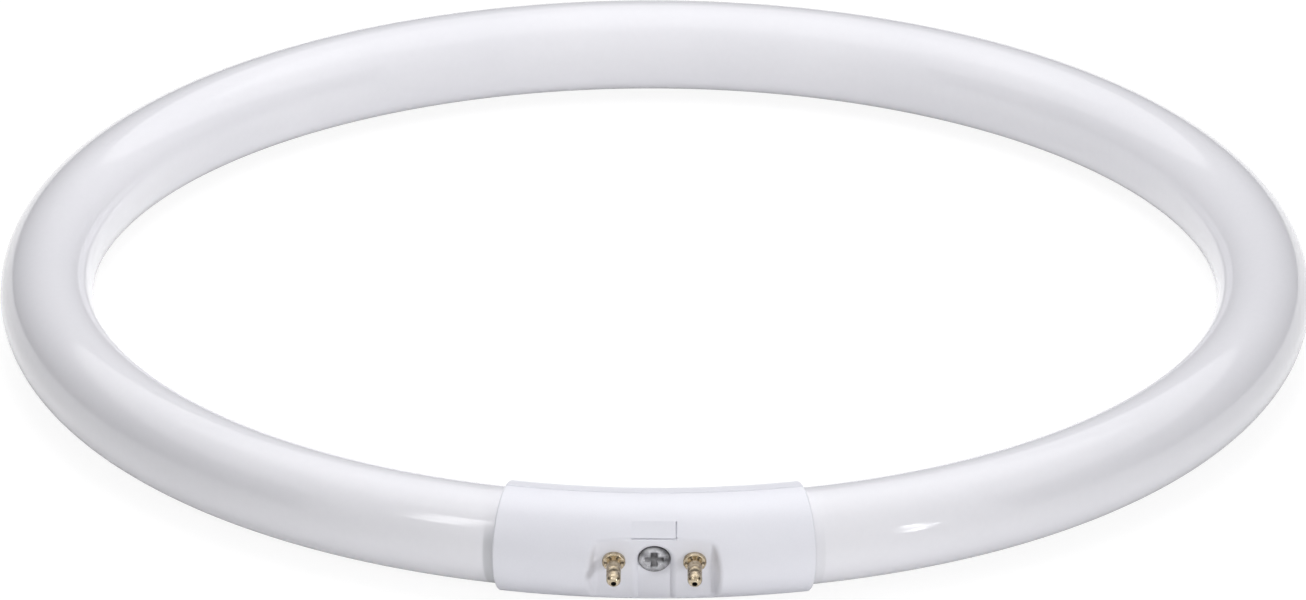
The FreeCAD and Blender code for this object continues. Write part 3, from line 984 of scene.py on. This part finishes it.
    @staticmethod
    def add_flag():
        """A grey card round the back and sides, out of the picture, that draws the edges of glossy shapes."""
        radius, height = 1.6, 1.0
        turn = np.linspace(math.radians(60), math.radians(300), FLAG_STEPS)
        ring = radius * np.stack((np.sin(turn), -np.cos(turn)), axis=-1)
        low, high = (np.column_stack((ring, np.full(len(ring), z))) for z in (0.0, height))
        i = np.arange(len(ring) - 1)
        faces = np.stack((i, i + 1, i + 1 + len(ring), i + len(ring)), axis=-1)
        mesh = bpy.data.meshes.new("edge_flag")
        mesh.from_pydata(np.vstack((low, high)).tolist(), [], faces.tolist())
        flag = link_object("edge_flag", mesh)
        flag.visible_camera = False
        material, _, card = new_material("grey_card")
        set_inputs(card, {"Base Color": (0.15, 0.15, 0.155, 1), "Roughness": 0.9})
        mesh.materials.append(material)

    @staticmethod
    def add_camera(scene, settings):
        """The photograph's view: a long lens in front of the base, a little above it."""
        data = bpy.data.cameras.new("camera")
        camera = link_object("camera", data)
        way = Vector((0, -math.cos(settings.elevation), math.sin(settings.elevation)))
        turn = way.to_track_quat("Z", "Y").to_matrix().to_4x4() @ Matrix.Rotation(settings.roll, 4, "Z")
        camera.matrix_world = Matrix.Translation(RING_CENTRE + settings.distance * way) @ turn
        data.sensor_width = 36.0
        data.lens = settings.focal_pixels / IMAGE_WIDTH * data.sensor_width
        data.shift_x = (IMAGE_WIDTH / 2 - RING_CENTRE_PIXEL[0]) / IMAGE_WIDTH
        data.shift_y = (RING_CENTRE_PIXEL[1] - IMAGE_HEIGHT / 2) / IMAGE_WIDTH
        data.clip_end = 20.0
        scene.camera = camera


class RINGLAMP_PT_panel(bpy.types.Panel):
    """Lists the lamp's settings and the steps that build it"""

    bl_idname = "RINGLAMP_PT_panel"
    bl_label = "Ring Lamp"
    bl_space_type = "VIEW_3D"
    bl_region_type = "UI"
    bl_category = "Ring Lamp"

    def draw(self, context):
        settings = context.scene.ring_lamp
        for operator in OPERATORS:
            box = self.layout.box()
            box.operator(operator.bl_idname)
            group = getattr(settings, operator.bl_idname.split(".")[1])
            for name in group.__annotations__:
                box.prop(group, name)
        box = self.layout.box()
        for name in settings.soil.__annotations__:
            box.prop(settings.soil, name)


OPERATORS = (
    RINGLAMP_OT_glass,
    RINGLAMP_OT_base,
    RINGLAMP_OT_pins,
    RINGLAMP_OT_screw,
    RINGLAMP_OT_leads,
    RINGLAMP_OT_stage,
)
CLASSES = (
    GlassSettings,
    BaseSettings,
    PinSettings,
    ScrewSettings,
    LeadSettings,
    StageSettings,
    PaintedShadeSettings,
    LampSettings,
    *OPERATORS,
    RINGLAMP_PT_panel,
)


def register():
    for cls in CLASSES:
        bpy.utils.register_class(cls)
    bpy.types.Scene.ring_lamp = PointerProperty(type=LampSettings)


def unregister():
    del bpy.types.Scene.ring_lamp
    for cls in reversed(CLASSES):
        bpy.utils.unregister_class(cls)


def main():
    register()
    bpy.ops.ringlamp.glass()
    bpy.ops.ringlamp.base()
    bpy.ops.ringlamp.pins()
    bpy.ops.ringlamp.screw()
    bpy.ops.ringlamp.leads()
    bpy.ops.ringlamp.stage()


if __name__ == "__main__":
    main()
